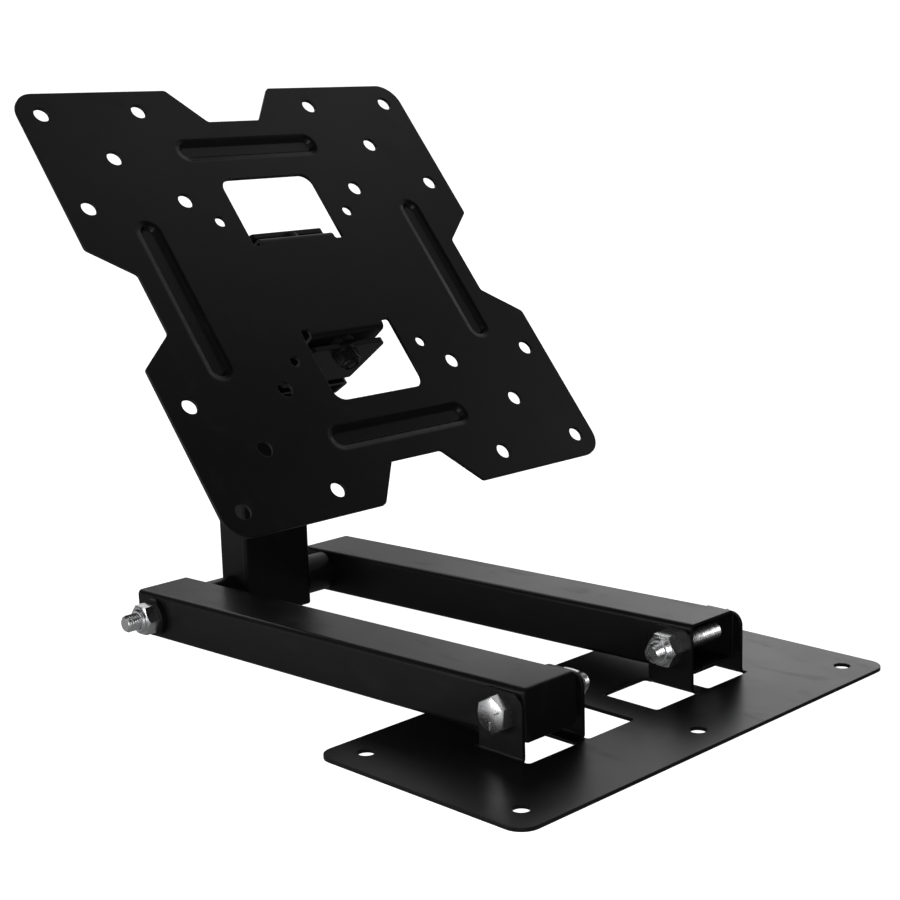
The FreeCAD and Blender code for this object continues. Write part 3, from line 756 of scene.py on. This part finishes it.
def curved_sheet(name):
    """A floor that bends up behind the stand, across the camera's line of sight."""
    ahead = Vector((CAMERA_AIM.x, CAMERA_AIM.y, 0)).normalized()
    side = ahead.cross(Vector((0, 0, 1)))
    profile = [(SHEET_NEAR, 0.0), (SHEET_BEND, 0.0)]
    for step in range(1, BEND_STEPS + 1):
        angle = math.pi / 2 * step / BEND_STEPS
        far = SHEET_BEND + BEND_RADIUS * math.sin(angle)
        profile.append((far, BEND_RADIUS - BEND_RADIUS * math.cos(angle)))
    profile.append((SHEET_BEND + BEND_RADIUS, SHEET_TOP))
    work = bmesh.new()
    rows = []
    for across in (-SHEET_HALF_WIDTH, SHEET_HALF_WIDTH):
        edge = side * across
        points = [ahead * far + edge + Vector((0, 0, high - SHEET_DROP)) for far, high in profile]
        rows.append([work.verts.new(point) for point in points])
    left, right = rows
    for index in range(len(profile) - 1):
        work.faces.new((left[index], right[index], right[index + 1], left[index + 1]))
    bmesh.ops.recalc_face_normals(work, faces=work.faces)
    mesh = as_mesh(work, name)
    mesh.shade_smooth()
    sheet = add_object(name, mesh)
    return sheet


def paint_paper(tree, spot):
    fibres = cloud(tree, spot, 3, 3.0)
    return {
        "Base Color": two_colours(tree, fibres, PAPER_SHADE, PAPER_WHITE),
        "Roughness": 0.9 + 0.05 * fibres,
        "Emission Color": (1.0, 1.0, 1.0, 1.0),
        "Emission Strength": 1.0,
        "Specular IOR Level": 0.1,
    }


def paint_glow(tree, spot):
    across = out(tree, build(tree, "ShaderNodeSeparateXYZ", None, [spot]), "X")
    return {
        "Base Color": (0.0, 0.0, 0.0, 1.0),
        "Emission Color": two_colours(tree, across.between(*GLOW_FADE), DIM_GLOW, LEFT_GLOW),
        "Emission Strength": 1.0,
        "Specular IOR Level": 0.0,
    }


seen_sheet = curved_sheet("white_sheet")
seen_sheet.data.materials.append(finish("white_paper", paint_paper))
seen_sheet.visible_glossy = False
seen_sheet.visible_diffuse = False
seen_sheet.visible_shadow = False
dim_sheet = curved_sheet("dim_sheet")
dim_sheet.data.materials.append(finish("dim_paper", paint_glow))
dim_sheet.visible_camera = False
dim_sheet.visible_shadow = False
world = bpy.data.worlds.new("room")
world.use_nodes = True
world.node_tree.nodes["Background"].inputs["Strength"].default_value = 0.0
bpy.context.scene.world = world
print("sheet and room ready")

# %% [markdown]
# Soft square lamps stand on a ring of 1.6 m and face the middle of the stand. Each one is given by
# its height in degrees above the table, its compass direction from +X, and its power. Those low at
# the back right draw the pale tops, the two high ones draw the edges, bead_light draws the pale
# line beside each bead, and the low ones on the left light the bolts.

# %% Lamps
LAMPS = {
    "back_right_low": (8, 20, 1.6),
    "back_right": (16, 33, 1.0),
    "back_right_upper": (28, 22, 0.7),
    "back_low": (8, 45, 0.6),
    "back_upper": (28, 67, 1.9),
    "right_upper": (28, 337, 0.8),
    "right_high": (55, 0, 1.0),
    "left_high": (55, 180, 1.2),
    "bead_light": (33, 40, 0.7),
    "left_low": (7, 160, 8.0),
    "front_left_low": (8, 225, 6.0),
}
LAMP_SIZE = 0.7
STAND_MIDDLE = Vector((0.0, 0.1, 0.08))
LAMP_DISTANCE = 1.6


def soft_lamp(name, height_angle, compass, watts):
    light = bpy.data.lights.new(name, "AREA")
    light.shape = "SQUARE"
    light.size = LAMP_SIZE
    light.energy = watts
    lamp = add_object(name, light)
    up, across = math.radians(height_angle), math.radians(compass)
    level = math.cos(up)
    outward = Vector((math.cos(across) * level, math.sin(across) * level, math.sin(up)))
    lamp.matrix_world = along(outward, STAND_MIDDLE + outward * LAMP_DISTANCE)
    lamp.visible_camera = False


for name, (height_angle, compass, watts) in LAMPS.items():
    soft_lamp(name, height_angle, compass, watts)
print(len(LAMPS), "lamps")

# %% [markdown]
# The camera stands to the front left, a little above the plate's middle, with a short telephoto
# lens, so the near corner of the base looks large and upright edges stay almost parallel.

# %% Camera
SENSOR_MM = 36.0
LENS_MM = 69.7
LENS_SHIFT = (-0.00083, -0.00133)

camera_data = bpy.data.cameras.new("camera")
camera_data.sensor_width = SENSOR_MM
camera_data.lens = LENS_MM
camera_data.shift_x, camera_data.shift_y = LENS_SHIFT
camera = add_object("camera", camera_data)
camera_right = CAMERA_AIM.cross(CAMERA_UP).normalized()
camera_up = camera_right.cross(CAMERA_AIM)
turn = Matrix((camera_right, camera_up, -CAMERA_AIM)).transposed().to_4x4()
camera.matrix_world = Matrix.Translation(CAMERA_PLACE) @ turn
bpy.context.scene.camera = camera
bpy.context.scene.view_settings.view_transform = "Standard"
bpy.context.scene.view_settings.look = "None"
print("camera at", as_lists([camera.location]))
